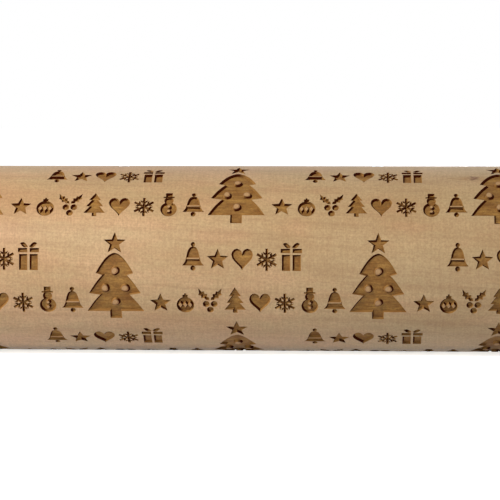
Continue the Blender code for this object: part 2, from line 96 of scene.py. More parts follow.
# The tree: x in shares of its half width, and y in shares of a row's height
TREE_HALF_WIDTH = 7.47
CROWN_TOP, CROWN_BOTTOM, CROWN_WIDTH, CROWN_CURVE, CROWN_STEPS = 0.24, 0.037, 0.66, 1.8, 12
TIERS = (((0.434, 0.018), (0.908, -0.170)), ((0.52, -0.189), (1.0, -0.375)))
TIER_BULGE = 0.012
TIER_STEPS = 5
TRUNK = ((0.205, -0.375), (0.205, -0.463))
BALLS = ((0.0, 0.06), (-0.35, -0.118), (0.35, -0.118), (0.0, -0.271))

# Its star and balls. STAR_CENTRE is in row heights too, and STAR_INNER, BALL_WEAR and the size of a ball's
# lighter top are shares of the radius. The lighter top sits up and to the left, towards the key lamp, so the
# darker rim round it is laser browning and painted shade.
STAR_CENTRE, STAR_REACH, STAR_INNER = 0.336, 3.05, 0.42
BALL_RADIUS = 0.86
BALL_SIDES = 20
BALL_WEAR = 0.07
UNSHADED_TOP, UNSHADED_TOP_LEFT, UNSHADED_TOP_UP = 0.72, 0.1, 0.06

# Handles, from their face beside the barrel
HANDLE_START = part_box("handle_right")[0].x
HANDLE_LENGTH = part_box("handle_right")[1].x - HANDLE_START
HANDLE_FACE, HANDLE_NECK, HANDLE_BELLY, HANDLE_TAIL = 0.00875, 0.009, 0.0145, 0.01225
BEAD_RADIUS, BEAD_START, BEAD_LENGTH = 0.0115, 0.0015, 0.007
BELLY_PLACE = 0.58
TAIL_EDGE = 0.002
AXLE_HOLE = 0.0043
COUNTERBORE_RADIUS = 0.0086
COUNTERBORE_DEPTH = 0.016
GROOVE_DEPTH = 0.00035
GROOVE_HALF = 0.0004
PLUG_GAP = 0.0003
PLUG_CHAMFER = 0.0003
PLUG_RIM = 0.001
PLUG_FACE = 0.0045

# How finely the round forms are made, and the tolerances of the barrel's mesh
LATHE_SIDES = 96
HANDLE_SIDES = 128
EDGE_STEPS = 6
BEAD_STEPS = 16
BELLY_STEPS = 48
PLUG_STEPS = 12
SMOOTH_ANGLE = radians(32)
WELD = 1e-6
SIDE_SLOPE = 0.01
FLOOR_MARGIN = 0.0001

# Colours, 8-bit sRGB
PALE_WOOD = (221, 186, 138)
TAN_WOOD = (200, 161, 112)
ROSY_WOOD = (220, 168, 128)
GREY_WOOD = (198, 172, 126)
GRAIN_BROWN = (152, 108, 66)
KNOT_BROWN = (92, 38, 0)
STAIN_BROWN = (158, 108, 40)
TOASTED_WOOD = (182, 134, 82)
# Laser browning, and painted shade on the balls' rims, darkest on their side away from the key lamp
SCORCHED_AND_SHADED_WOOD = (140, 92, 48)
END_GRAIN = (186, 148, 104)
BURNT_LIGHT = (191, 142, 71)
BURNT_DARK = (149, 99, 39)
BURNT_LINE = (92, 54, 20)
CHAR_LIGHT = (172, 126, 70)
# The darkest char, which is also painted shade on the walls that face away from the key lamp
CHAR_DARK_AND_SHADE = (62, 18, 0)
BEARING_STEEL = (196, 197, 202)
DRAWN_STEEL = (186, 186, 188)
ZINC = (178, 182, 188)
NYLON_DARK = (28, 28, 30)
NYLON_LIGHT = (40, 40, 42)

# The wood, in millimetres. Its tint drifts from rosy to grey along the barrel, and the knot fades out from
# KNOT_CORE to KNOT_REACH, with an edge that wanders.
GRAIN_TILT = radians(4.0)
PITH = (31.0, -22.0)
DRIFT_FROM, DRIFT_TO = -50.0, 100.0
DRIFT_ROSY, DRIFT_GREY = -0.08, 0.14
KNOT_PLACE = (78.0, -11.7, 22.1)
KNOT_CORE, KNOT_REACH, KNOT_WANDER = 1.1, 2.1, 2.4

# How much the marks in metal show, how dark they are, and how much they roughen it
MARK_SHARE, MARK_SHADE, MARK_ROUGHNESS = 0.35, 0.75, 0.15

# The depths of the finest relief, in metres
WOOD_RELIEF = 0.00002
FLOOR_RELIEF = 0.00015
WALL_RELIEF = 0.0001
METAL_RELIEF = 0.00001


def linear(colour):
    """An 8-bit sRGB colour as a linear RGBA."""
    parts = [c / 255 for c in colour]
    return (*[p / 12.92 if p <= 0.04045 else ((p + 0.055) / 1.055) ** 2.4 for p in parts], 1.0)


def shares(steps):
    """0 to 1 in equal steps."""
    return [step / steps for step in range(steps + 1)]


def quarter_turn(steps):
    """The angles from 0 to a quarter turn, in equal steps."""
    return [pi / 2 * step / steps for step in range(steps + 1)]


# Outlines. A figure is its carved loops and those left standing in them. The small figures are about 1 high
# round their middle.


def circle(x, y, radius, sides=BALL_SIDES):
    angles = [2 * pi * side / sides for side in range(sides)]
    return [(x + radius * cos(a), y + radius * sin(a)) for a in angles]


def wobbly(loop, x, y):
    """A small ring moved to a place, and worn out of round there in its own way."""
    sides = len(loop)
    worn = []
    for side, (px, py) in enumerate(loop):
        angle = 2 * pi * side / sides
        size = 1 + BALL_WEAR * (sin(2 * angle + 3 * x) + 0.7 * sin(3 * angle + 5 * y))
        worn.append((x + px * size, y + py * size))
    return worn


def unshaded_ball_top(loop):
    """The lighter part of a standing ball's top. It sits up and to the left, towards the key lamp, so the
    darker rest round it is laser browning and painted shade.
    """
    x, y = (sum(values) / len(loop) for values in zip(*loop))
    left, up = x - UNSHADED_TOP_LEFT, y + UNSHADED_TOP_UP
    return [(left + (px - x) * UNSHADED_TOP, up + (py - y) * UNSHADED_TOP) for px, py in loop]


def both_sides(right):
    """A shape that is the same on both sides, from its right side's points."""
    return right + [(-x, y) for x, y in reversed(right) if x > 0]


def star_loop(reach, inner, y=0.0):
    """A star with five points, whose corners between them lie at inner times its reach."""
    points = 5
    loop = []
    for index in range(2 * points):
        radius = reach * (inner if index % 2 else 1.0)
        angle = pi / 2 - index * pi / points
        loop.append((radius * cos(angle), y + radius * sin(angle)))
    return loop


def box_loop(x, low, far, high):
    near, far = sorted((x, far))
    return [(near, low), (far, low), (far, high), (near, high)]


def tree():
    """The tree with its star, and the balls left standing in it."""
    drop = CROWN_TOP - CROWN_BOTTOM
    right = [(0.0, CROWN_TOP)]
    for share in shares(CROWN_STEPS)[1:]:
        right.append((CROWN_WIDTH * share, CROWN_TOP - drop * share**CROWN_CURVE))
    for (top_x, top_y), (low_x, low_y) in TIERS:
        for share in shares(TIER_STEPS):
            bulge = TIER_BULGE * sin(pi * share)
            right.append((top_x + (low_x - top_x) * share, top_y + (low_y - top_y) * share + bulge))
    right += TRUNK
    body = [(x * TREE_HALF_WIDTH, y * ROW_HEIGHT) for x, y in both_sides(right)]
    star = star_loop(STAR_REACH, STAR_INNER, y=STAR_CENTRE * ROW_HEIGHT)
    balls = [wobbly(circle(0, 0, BALL_RADIUS), x * TREE_HALF_WIDTH, y * ROW_HEIGHT) for x, y in BALLS]
    return [body, star], balls


def heart():
    loop = []
    steps = 28
    for step in range(steps):
        t = 2 * pi * step / steps
        y = 13 * cos(t) - 5 * cos(2 * t) - 2 * cos(3 * t) - cos(4 * t)
        loop.append((14 * sin(t) ** 3 / 29, (y + 2.5) / 29))
    return [loop], []


def star():
    return [star_loop(0.5, 0.45)], []


def bell():
    """A bell with its knob and clapper, and a band left standing round it."""
    right = []
    for share in shares(12):
        width = 0.235 * sqrt(1 - (1 - share) ** 3) + 0.145 * share**5
        right.append((width, 0.36 - 0.68 * share))
    clapper, knob = circle(0, -0.41, 0.09), circle(0, 0.42, 0.08, 12)
    return [both_sides(right), clapper, knob], [box_loop(-0.22, -0.1, 0.22, -0.05)]


def bauble():
    """A ball with its cap and ring, and a band of three diamonds left standing round it."""
    islands = []
    for index in (-1, 0, 1):
        x, y = 0.22 * index, -0.09
        islands.append([(x + 0.085, y), (x, y + 0.12), (x - 0.085, y), (x, y - 0.12)])
    cap, ring = box_loop(-0.12, 0.26, 0.12, 0.42), circle(0, 0.45, 0.05, 12)
    return [circle(0, -0.09, 0.4, 28), cap, ring], islands


def snowflake():
    """Six arms, each with one pair of branches."""
    half = 0.06
    side = [(0.2, half), (0.29, 0.2), (0.36, 0.16), (0.31, half), (0.5, half)]
    corner = (half / tan(pi / 6), half)
    arm = [(x, -y) for x, y in side] + side[::-1] + [corner]
    loop = []
    for index in range(6):
        turn = Matrix.Rotation(pi / 2 + index * pi / 3, 2)
        loop += [tuple(turn @ Vector(point)) for point in arm]
    return [loop], []


def small_fir():
    right = [(0, 0.5), (0.21, 0.17), (0.11, 0.17), (0.3, -0.1), (0.17, -0.1), (0.375, -0.37)]
    return [both_sides(right + [(0.08, -0.37), (0.08, -0.5)])], []


def gift():
    """A box in four panes, with the ribbon left standing between them, and its bow."""
    panes = []
    for side in (-1, 1):
        for low, high, far in ((-0.5, 0.06, 0.33), (0.12, 0.27, 0.37)):
            panes.append(box_loop(side * 0.04, low, side * far, high))
        bow = []
        for share in shares(12)[:-1]:
            reach = min(2 * share, 2 - 2 * share)
            swell = sin(pi * reach) * (0.09 if share < 0.5 else -0.09)
            bow.append((side * (0.02 + 0.28 * reach), 0.32 + 0.12 * reach + swell))
        panes.append(bow)
    return panes, []


def snowman():
    brim, hat = box_loop(-0.2, 0.27, 0.2, 0.33), box_loop(-0.12, 0.32, 0.12, 0.5)
    buttons = [circle(0, y, 0.05, 10) for y in (-0.1, -0.28)]
    return [circle(0, -0.21, 0.29, 24), circle(0, 0.15, 0.165, 20), brim, hat], buttons


def holly():
    """Two prickly leaves with three berries under them."""
    edge = [(0.02, 0.02), (0.04, 0.12), (0.1, 0.13), (0.09, 0.25), (0.18, 0.24), (0.21, 0.35), (0.28, 0.33),
            (0.41, 0.46), (0.38, 0.29), (0.41, 0.21), (0.31, 0.18), (0.3, 0.08), (0.2, 0.09), (0.14, 0.02)]
    leaves = [edge, [(-x, y) for x, y in edge]]
    return leaves + [circle(x, y, 0.12, 14) for x, y in ((-0.14, -0.14), (0.14, -0.14), (0.0, -0.37))], []


UPPER_FIGURES = ((bell, TALL), (star, SMALL), (heart, SMALL), (snowflake, SMALL), (gift, TALL))
LOWER_FIGURES = (
    (star, SMALL), (bauble, SMALL), (holly, TALL), (small_fir, TALL), (heart, SMALL), (snowflake, SMALL),
    (snowman, TALL), (bell, TALL),
)


def moved(loops, x, y, size=1.0):
    return [[(px * size + x, py * size + y) for px, py in loop] for loop in loops]


def frieze(x):
    """Two lines of small figures between two trees: the loops carved, and those left standing."""
    carved, standing = [], []
    for figures, line, shift, step in (
        (UPPER_FIGURES, UPPER_LINE, UPPER_SHIFT, UPPER_STEP),
        (LOWER_FIGURES, LOWER_LINE, LOWER_SHIFT, LOWER_STEP),
    ):
        for index, (figure, height) in enumerate(figures):
            pockets, islands = figure()
            place = x + shift + (index - (len(figures) - 1) / 2) * step
            carved += moved(pockets, place, line + height / 2, height)
            standing += moved(islands, place, line + height / 2, height)
    return carved, standing


def row_outlines(row):
    """A row's outlines. Every second row is shifted along the barrel, and each stands a little higher in
    its sixth of the sheet than the row before."""
    side = 1 if row % 2 else -1
    rise = (row - (ROWS - 1) / 2) * (ROW_STEP_SHARE - 1) * ROW_HEIGHT
    carved, standing = [], []
    for column in range(COLUMNS):
        x = (column - (COLUMNS - 1) / 2 + side * STAGGER / 2) * COLUMN_PITCH
        pockets, islands = tree()
        between = frieze(x - side * COLUMN_PITCH / 2)
        carved += moved(pockets, x, 0) + between[0]
        standing += moved(islands, x, 0) + between[1]
    return moved(carved, 0, rise), moved(standing, 0, rise)


# Meshes


def round_point(x, radius, angle):
    return Vector((x, -radius * cos(angle), radius * sin(angle)))


def counterclockwise(loop):
    area = sum(a[0] * b[1] - b[0] * a[1] for a, b in zip(loop, loop[1:] + loop[:1]))
    return list(loop) if area > 0 else list(reversed(loop))


def wall_foot(loop, side):
    """Where the sloping wall under a counterclockwise loop meets the floor, which lies inside a pocket
    (side 1) and outside a top left standing (side -1). The walls that face right and down, away from the key
    lamp, slope more."""
    foot = []
    corners = [Vector(point) for point in loop]
    for before, point, after in zip(corners[-1:] + corners[:-1], corners, corners[1:] + corners[:1]):
        total = Vector((0, 0))
        for along in ((point - before).normalized(), (after - point).normalized()):
            total += Vector((-along.y, along.x)) * side
        facing = total.normalized()
        draft = WALL_DRAFT * (1 + DRAFT_TO_UNLIT * facing.dot((UNLIT_RIGHT, UNLIT_DOWN)))
        mitre = 2 / max(total.length, 2 / MOST_MITRE)
        foot.append(tuple(point + facing * draft * mitre))
    return foot


def goes_round(loop, x, y):
    """Whether a counterclockwise loop goes round a point. Where it is turned over, it doesn't."""
    turns = 0
    for (ax, ay), (bx, by) in zip(loop, loop[1:] + loop[:1]):
        if (ay > y) != (by > y) and x < ax + (y - ay) / (by - ay) * (bx - ax):
            turns += 1 if by > ay else -1
    return turns > 0


def facet_lines(half):
    """The lines between the facets of a row, and its two ends, as points and edges."""
    points, edges = [], []
    for line in range(FACETS_PER_ROW + 1):
        y = (line - FACETS_PER_ROW / 2) * FACET_HEIGHT
        points += [Vector((-half, y)), Vector((half, y))]
        edges.append((2 * line, 2 * line + 1))
        if line:
            edges += [(2 * line - 2, 2 * line), (2 * line - 1, 2 * line + 1)]
    return points, edges


def unrolled_row(row, half):
    """One row of the unrolled barrel as points, the share of the engraving's depth at each, triangles, and
    each triangle's kind. Of the loops left standing, only the balls have BALL_SIDES points."""
    carved, standing = ([counterclockwise(loop) for loop in loops] for loops in row_outlines(row))
    balls = [loop for loop in standing if len(loop) == BALL_SIDES]
    bands = [loop for loop in standing if len(loop) != BALL_SIDES]
    tops = [unshaded_ball_top(loop) for loop in balls]
    floors = [wall_foot(loop, 1) for loop in carved]
    skirts = [wall_foot(loop, -1) for loop in standing]
    points, edges = facet_lines(half)
    rims = []
    for loop in carved + bands + balls + tops + floors + skirts:
        first = len(points)
        for x, y in loop:
            near = round(y / FACET_HEIGHT) * FACET_HEIGHT
            points.append(Vector((x, near if abs(y - near) < SNAP else y)))
        rims.append(list(range(first, len(points))))
    outlines = len(carved + standing + tops)
    for foot in rims[outlines:]:
        edges += zip(foot, foot[1:] + foot[:1])
    points, _, triangles, _, _, inside = delaunay_2d_cdt(points, edges, rims[:outlines], 0, FINEST, True)

    # The innermost outline round a triangle says what it is: carved, a band, a ball's rim, which is darker
    # as painted shade, or a ball's lighter top
    starts = (0, len(carved), len(carved + bands), len(carved + standing))
    kinds_within = (WOOD, FLOOR, TOASTED, SCORCHED_AND_SHADED, TOASTED)
    kinds, around = [], [set() for _ in points]
    for triangle, loops in zip(triangles, inside):
        kind = kinds_within[bisect(starts, max(loops, default=-1))]
        if kind == FLOOR:
            x, y = sum((points[i] for i in triangle), Vector((0, 0))) / 3
            on_floor = any(goes_round(floors[i], x, y) for i in loops)
            if not on_floor or any(goes_round(loop, x, y) for loop in skirts):
                kind = WALL
        kinds.append(kind)
        for index in triangle:
            around[index].add(kind)
    depths = [0.0 if met - {FLOOR, WALL} else 1.0 if FLOOR in met else 0.5 for met in around]
    return points, depths, triangles, kinds


def shade_round(mesh):
    """Smooth shading, with the normals of a true round on the barrel's side and on the pockets' floors."""
    mesh.shade_smooth()
    mesh.set_sharp_from_angle(angle=SMOOTH_ANGLE)
    normals = []
    reach = BARREL_RADIUS - ENGRAVING_DEPTH - FLOOR_MARGIN
    for face in mesh.polygons:
        radial = face.material_index != WALL and abs(face.normal.x) < SIDE_SLOPE
        for index in face.vertices:
            point = mesh.vertices[index].co
            out = Vector((0, point.y, point.z))
            normals.append(out.normalized() if radial and out.length > reach else Vector((0, 0, 0)))
    mesh.normals_split_custom_set(normals)


def carved_barrel():
    """The barrel as one closed mesh. The kind of a face is its material's index."""
    side_end = BARREL_HALF - BARREL_EDGE
    verts, faces, kinds = [], [], []

    def add(point):
        verts.append(point)
        return len(verts) - 1

    for row in range(ROWS):
        points, depths, triangles, row_kinds = unrolled_row(row, side_end / MM)
        placed = []
        for (x, y), depth in zip(points, depths):
            radius = BARREL_RADIUS - ENGRAVING_DEPTH * depth
            place = (y / ROW_HEIGHT + 0.5) * FACETS_PER_ROW
            facet = max(0, min(int(place + FINEST), FACETS_PER_ROW - 1))
            angles = [SEAM_ANGLE + (row * FACETS_PER_ROW + facet + i) * 2 * pi / FACETS for i in (0, 1)]
            ends = [round_point(x * MM, radius, angle) for angle in angles]
            placed.append(add(ends[0].lerp(ends[1], place - facet)))
        faces += [[placed[index] for index in triangle] for triangle in triangles]
        kinds += row_kinds

    profile = [(side_end + BARREL_EDGE * sin(a), BARREL_RADIUS - BARREL_EDGE * (1 - cos(a)))
               for a in quarter_turn(EDGE_STEPS)]
    profile += [(BARREL_HALF, SEAT_RADIUS + HOLE_CHAMFER), (BARREL_HALF - HOLE_CHAMFER, SEAT_RADIUS)]
    profile += [(BARREL_HALF - SEAT_DEPTH, SEAT_RADIUS), (BARREL_HALF - SEAT_DEPTH, BORE_RADIUS)]
    profile += [(-x, radius) for x, radius in reversed(profile)]
    angles = [SEAM_ANGLE + i * 2 * pi / FACETS for i in range(FACETS)]
    rings = [[add(round_point(x, radius, a)) for a in angles] for x, radius in profile]
    for near, far in zip(rings, rings[1:]):
        for i in range(FACETS):
            after = (i + 1) % FACETS
            faces.append([near[i], far[i], far[after], near[after]])
            kinds.append(WOOD)

    mesh = bpy.data.meshes.new("carved_barrel")
    mesh.from_pydata(verts, [], faces)
    mesh.polygons.foreach_set("material_index", kinds)
    build = bmesh.new()
    build.from_mesh(mesh)
    bmesh.ops.remove_doubles(build, verts=build.verts, dist=WELD)
    bmesh.ops.recalc_face_normals(build, faces=build.faces)
    build.to_mesh(mesh)
    build.free()
    shade_round(mesh)
    return mesh


def lathe(name, profile, side, sides=LATHE_SIDES):
    """A turned shape for the right end, and with side -1 its copy for the left end, turned half round. The
    profile is (x, radius) points: a closed loop, or a line that starts and ends on the axis."""
    build = bmesh.new()
    rings = []
    for x, radius in profile:
        ring = [round_point(x, radius, 2 * pi * i / sides) for i in range(sides if radius else 1)]
        rings.append([build.verts.new(point) for point in ring])
    closed = profile[0][1] > 0
    for near, far in zip(rings, rings[1:] + (rings[:1] if closed else [])):
        for i in range(sides):
            corners = ((near, i), (near, i + 1), (far, i + 1), (far, i))
            build.faces.new(dict.fromkeys(ring[at % len(ring)] for ring, at in corners))
    bmesh.ops.recalc_face_normals(build, faces=build.faces)
    mesh = bpy.data.meshes.new(name)
    build.to_mesh(mesh)
    build.free()
    if side < 0:
        mesh.transform(Matrix.Rotation(pi, 4, "Z"))
    mesh.shade_smooth()
    mesh.set_sharp_from_angle(angle=SMOOTH_ANGLE)
    return mesh


def handle_profile():
    """A bead beside the barrel, a groove, the belly, and at the far end the counterbore for the nut."""
    profile = [(0, AXLE_HOLE + HOLE_CHAMFER), (0, HANDLE_FACE)]
    for share in shares(BEAD_STEPS):
        base = HANDLE_FACE + (HANDLE_NECK - HANDLE_FACE) * share
        profile.append((BEAD_START + BEAD_LENGTH * share, base + (BEAD_RADIUS - base) * sin(pi * share)))
    start, end = BEAD_START + BEAD_LENGTH, HANDLE_LENGTH - TAIL_EDGE
    profile += [(start + GROOVE_HALF, HANDLE_NECK - GROOVE_DEPTH), (start + 2 * GROOVE_HALF, HANDLE_NECK)]
    for share in shares(BELLY_STEPS)[2:-1]:
        if share < BELLY_PLACE:
            radius = HANDLE_NECK + (HANDLE_BELLY - HANDLE_NECK) * (1 - cos(pi * share / BELLY_PLACE)) / 2
        else:
            fall = (share - BELLY_PLACE) / (1 - BELLY_PLACE)
            radius = HANDLE_TAIL + (HANDLE_BELLY - HANDLE_TAIL) * (1 + cos(pi * fall)) / 2
        profile.append((start + (end - start) * share, radius))
    for angle in quarter_turn(EDGE_STEPS):
        profile.append((end + TAIL_EDGE * sin(angle), HANDLE_TAIL - TAIL_EDGE * (1 - cos(angle))))
    floor = HANDLE_LENGTH - COUNTERBORE_DEPTH
    profile += [(HANDLE_LENGTH, COUNTERBORE_RADIUS), (floor, COUNTERBORE_RADIUS)]
    profile += [(floor, AXLE_HOLE), (HOLE_CHAMFER, AXLE_HOLE)]
    return [(HANDLE_START + x, radius) for x, radius in profile]


def plug_profile():
    """A domed button on a spigot that fits the handle's counterbore."""
    low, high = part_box("end_plug_right")
    head_x = HANDLE_START + HANDLE_LENGTH + PLUG_GAP
    rim_x, rim = head_x + PLUG_RIM, high.z
    spigot = COUNTERBORE_RADIUS - PLUG_GAP
    profile = [(low.x, 0), (low.x, spigot - PLUG_CHAMFER), (low.x + PLUG_CHAMFER, spigot)]
    profile += [(head_x, spigot), (head_x, rim - PLUG_CHAMFER), (head_x + PLUG_CHAMFER, rim)]
    for angle in quarter_turn(PLUG_STEPS):
        profile.append((rim_x + (high.x - rim_x) * sin(angle), PLUG_FACE + (rim - PLUG_FACE) * cos(angle)))
    return profile + [(high.x, 0)]


def ring_profile(node, hole, chamfer):
    """A tube as long and as wide as a CAD node, with its four rims broken."""
    low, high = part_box(node)
    profile = []
    for x, inward in ((low.x, chamfer), (high.x, -chamfer)):
        end = [(x + inward, hole), (x, hole + chamfer), (x, high.z - chamfer), (x + inward, high.z)]
        profile += end if inward > 0 else end[::-1]
    return profile


def piece(name, mesh, materials, body, node):
    """A piece that rides on a body, with the given materials, and stands for a CAD node."""
    for material in materials:
        mesh.materials.append(material)
    made = bpy.data.objects.new(name, mesh)
    bpy.context.scene.collection.objects.link(made)
    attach(made, body)
    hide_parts(node)


# Materials


class Nodes:
    """The nodes of a material or of the world, with short ways to add and link them."""

    def __init__(self, owner):
        owner.use_nodes = True
        self.owner = owner
        self.tree = owner.node_tree
        self.shader = self.tree.nodes.get("Principled BSDF")

    def put(self, socket, value):
        """Link an input to another node's output, or give it a constant."""
        if isinstance(value, bpy.types.NodeSocket):
            self.tree.links.new(value, socket)
        else:
            socket.default_value = value

    def add(self, kind, values=None, **settings):
        node = self.tree.nodes.new(kind)
        for key, value in settings.items():
            setattr(node, key, value)
        for key, value in (values or {}).items():
            self.put(node.inputs[key], value)
        return node

    def math(self, operation, a, b=0.0):
        return self.add("ShaderNodeMath", {0: a, 1: b}, operation=operation).outputs[0]

    def vector(self, operation, *values):
        node = self.add("ShaderNodeVectorMath", dict(enumerate(values)), operation=operation)
        return node.outputs["Value" if operation in ("LENGTH", "DOT_PRODUCT") else "Vector"]

    def mix(self, factor, a, b):
        return self.add("ShaderNodeMix", {"Factor": factor, 6: a, 7: b}, data_type="RGBA").outputs[2]

    def span(self, value, low, high, first=0.0, last=1.0):
        """value's low..high as first..last."""
        return self.add("ShaderNodeMapRange", {0: value, 1: low, 2: high, 3: first, 4: last}).outputs[0]

    def coordinates(self, kind):
        return self.add("ShaderNodeTexCoord").outputs[kind]

    def place(self, per_mm=(1, 1, 1), shift=(0, 0, 0), tilt=0.0):
        """The point on the object in millimetres from shift, tilted, and then times per_mm."""
        values = {"Vector": self.coordinates("Object"), "Location": [s * MM for s in shift],
                  "Rotation": (0, tilt, 0), "Scale": [MM / s for s in per_mm]}
        return self.add("ShaderNodeMapping", values, vector_type="TEXTURE").outputs[0]

    def noise(self, per_mm, detail, roughness=0.5, shift=(0, 0, 0), tilt=0.0):
        values = {"Vector": self.place(per_mm, shift, tilt), "Scale": 1.0, "Detail": detail,
                  "Roughness": roughness}
        return self.add("ShaderNodeTexNoise", values).outputs["Fac"]

    def rings(self, per_mm, along, scale, distortion):
        """Growth rings round the pith, which runs with the grain."""
        values = {"Vector": self.place(per_mm, (along, *PITH), GRAIN_TILT), "Scale": scale,
                  "Distortion": distortion, "Detail": 2.0, "Detail Scale": 0.35}
        kinds = {"wave_type": "RINGS", "rings_direction": "X", "wave_profile": "SIN"}
        return self.add("ShaderNodeTexWave", values, **kinds).outputs["Fac"]

    def surface(self, colour, roughness, height=None, depth=0.0, **constants):
        """The material, with height as a relief of the given depth."""
        inputs = self.shader.inputs
        self.put(inputs["Base Color"], colour)
        self.put(inputs["Roughness"], roughness)
        for key, value in constants.items():
            inputs[key.replace("_", " ")].default_value = value
        if height is not None:
            bump = self.add("ShaderNodeBump", {"Height": height, "Distance": depth, "Strength": 1.0})
            self.put(inputs["Normal"], bump.outputs[0])
        return self.owner


def new_material(name):
    return Nodes(bpy.data.materials.new(name))


def wood_colour(nodes, shift):
    """Pale beech, sanded: soft blotches in several tints, faint fibres and rings, mottling, turning marks.
    It is rosier at the left of the barrel and greyer at the right."""
    blotches = nodes.noise((0.03, 0.08, 0.08), 4, 0.6, shift, GRAIN_TILT)
    tints = nodes.noise((0.05, 0.14, 0.14), 4, 0.65, (shift[0] + 310, shift[1], shift[2]), GRAIN_TILT)
    streaks = nodes.noise((0.02, 0.5, 0.5), 4, 0.6, shift, GRAIN_TILT)
    fibres = nodes.noise((0.14, 3.0, 3.0), 3, 0.6, shift, GRAIN_TILT)
    mottle = nodes.noise((1.7, 1.7, 1.7), 3, 0.7, shift)
    turning = nodes.noise((2.6, 0.14, 0.14), 3, 0.6, shift)
    rings = nodes.rings((0.012, 1.0, 1.0), shift[0], 0.075, 2.2)
    along = nodes.add("ShaderNodeSeparateXYZ", {0: nodes.place()}).outputs[0]
    grey = nodes.math("ADD", tints, nodes.span(along, DRIFT_FROM, DRIFT_TO, DRIFT_ROSY, DRIFT_GREY))
    colour = nodes.mix(nodes.span(blotches, 0.3, 0.72), linear(PALE_WOOD), linear(TAN_WOOD))
    for marks, low, high, most, tint in (
        (grey, 0.58, 0.3, 0.45, ROSY_WOOD), (grey, 0.45, 0.8, 0.65, GREY_WOOD),
        (rings, 0.45, 1.0, 0.1, GRAIN_BROWN), (streaks, 0.5, 0.78, 0.32, GRAIN_BROWN),
        (fibres, 0.4, 0.7, 0.2, GRAIN_BROWN), (mottle, 0.36, 0.66, 0.42, GRAIN_BROWN),
        (turning, 0.4, 0.7, 0.2, GRAIN_BROWN),
    ):
        share = nodes.math("MULTIPLY", nodes.span(marks, low, high), most)
        colour = nodes.mix(share, colour, linear(tint))
    return colour, nodes.math("ADD", fibres, nodes.math("MULTIPLY", turning, 0.7))


def knot(nodes, colour):
    """One small brown knot, with a faint stain that runs from it along the grain."""
    wander = nodes.noise((0.7, 1.3, 1.3), 3, 0.65, (-2, 0, 0))
    away = nodes.vector("SUBTRACT", nodes.place(), KNOT_PLACE)
    for shape, tint, most in (((0.1, 0.55, 0.55), STAIN_BROWN, 0.6), ((0.5, 0.65, 0.65), KNOT_BROWN, 0.9)):
        reach = nodes.vector("LENGTH", nodes.vector("MULTIPLY", away, shape))
        reach = nodes.math("ADD", reach, nodes.math("MULTIPLY", wander, KNOT_WANDER))
        share = nodes.math("MULTIPLY", nodes.span(reach, KNOT_REACH, KNOT_CORE), most)
        colour = nodes.mix(share, colour, linear(tint))
    return colour


def end_grain(nodes, colour):
    """Darker where the fibres are cut across, on faces that look along the axle, with the growth rings."""
    facing = nodes.add("ShaderNodeSeparateXYZ", {0: nodes.coordinates("Normal")}).outputs[0]
    cut = nodes.span(nodes.math("ABSOLUTE", facing), 0.55, 1.0)
    rings = nodes.span(nodes.rings((0.1, 1.0, 1.0), 0.0, 0.16, 1.6), 0.5, 1.0)
    pores = nodes.span(nodes.noise((1.0, 4.5, 4.5), 2, 0.6), 0.5, 0.75)
    for marks, tint in ((0.75, END_GRAIN), (nodes.math("MULTIPLY", rings, 0.3), GRAIN_BROWN),
                        (nodes.math("MULTIPLY", pores, 0.3), GRAIN_BROWN)):
        colour = nodes.mix(nodes.math("MULTIPLY", cut, marks), colour, linear(tint))
    return colour


def bare_wood(name, shift, roughness, knotted=False):
    nodes = new_material(name)
    colour, relief = wood_colour(nodes, shift)
    if knotted:
        colour = knot(nodes, colour)
    return nodes.surface(end_grain(nodes, colour), roughness, relief, WOOD_RELIEF)


def browned_wood(name, tint, share):
    """The tops left standing in a pocket, browned by the laser round them."""
    nodes = new_material(name)
    colour, relief = wood_colour(nodes, (0, 0, 0))
    return nodes.surface(nodes.mix(share, colour, linear(tint)), 0.7, relief, WOOD_RELIEF)


def burnt_floor():
    """The floor of a pocket: toasted wood with the laser's lengthwise bands."""
    nodes = new_material("burnt_floor")
    patches = nodes.noise((0.16, 0.4, 0.4), 3, 0.6, (4, 0, 0))
    bands = nodes.noise((0.08, 1.3, 1.3), 2, 0.5, (4, 0, 0))
    lines = nodes.noise((0.3, 3.6, 3.6), 3, 0.6, (9, 0, 0))
    grit = nodes.noise((1.6, 2.0, 2.0), 3, 0.7, (9, 0, 0))
    colour = nodes.mix(nodes.span(patches, 0.32, 0.68), linear(BURNT_DARK), linear(BURNT_LIGHT))
    for marks, most in ((bands, 0.3), (lines, 0.36), (grit, 0.42)):
        share = nodes.math("MULTIPLY", nodes.span(marks, 0.4, 0.65), most)
        colour = nodes.mix(share, colour, linear(BURNT_LINE))
    height = nodes.math("ADD", bands, lines)
    return nodes.surface(colour, 0.6, height, FLOOR_RELIEF, Specular_IOR_Level=0.27)


def charred_wall_and_painted_shade():
    """The charred wall of a pocket, with random soot, and painted shade: the walls that face right and down,
    away from the key lamp, are coloured darker."""
    nodes = new_material("charred_wall_and_painted_shade")
    soot = nodes.noise((0.4, 1.2, 1.2), 3, 0.6)
    # Painted shade: the walls that face right and down, away from the key lamp, get the darker colour
    upward = nodes.vector("CROSS_PRODUCT", nodes.coordinates("Object"), (1, 0, 0))
    unlit = nodes.vector("MULTIPLY", nodes.vector("NORMALIZE", upward), (UNLIT_DOWN,) * 3)
    unlit = nodes.vector("ADD", unlit, (UNLIT_RIGHT, 0, 0))
    along = nodes.vector("DOT_PRODUCT", nodes.coordinates("Normal"), unlit)
    share = nodes.math("ADD", nodes.math("MULTIPLY", soot, 0.5), nodes.span(along, -0.6, 0.35))
    colour = nodes.mix(nodes.span(share, 0.35, 1.1), linear(CHAR_LIGHT), linear(CHAR_DARK_AND_SHADE))
    return nodes.surface(colour, 0.8, soot, WALL_RELIEF, Specular_IOR_Level=0.05)


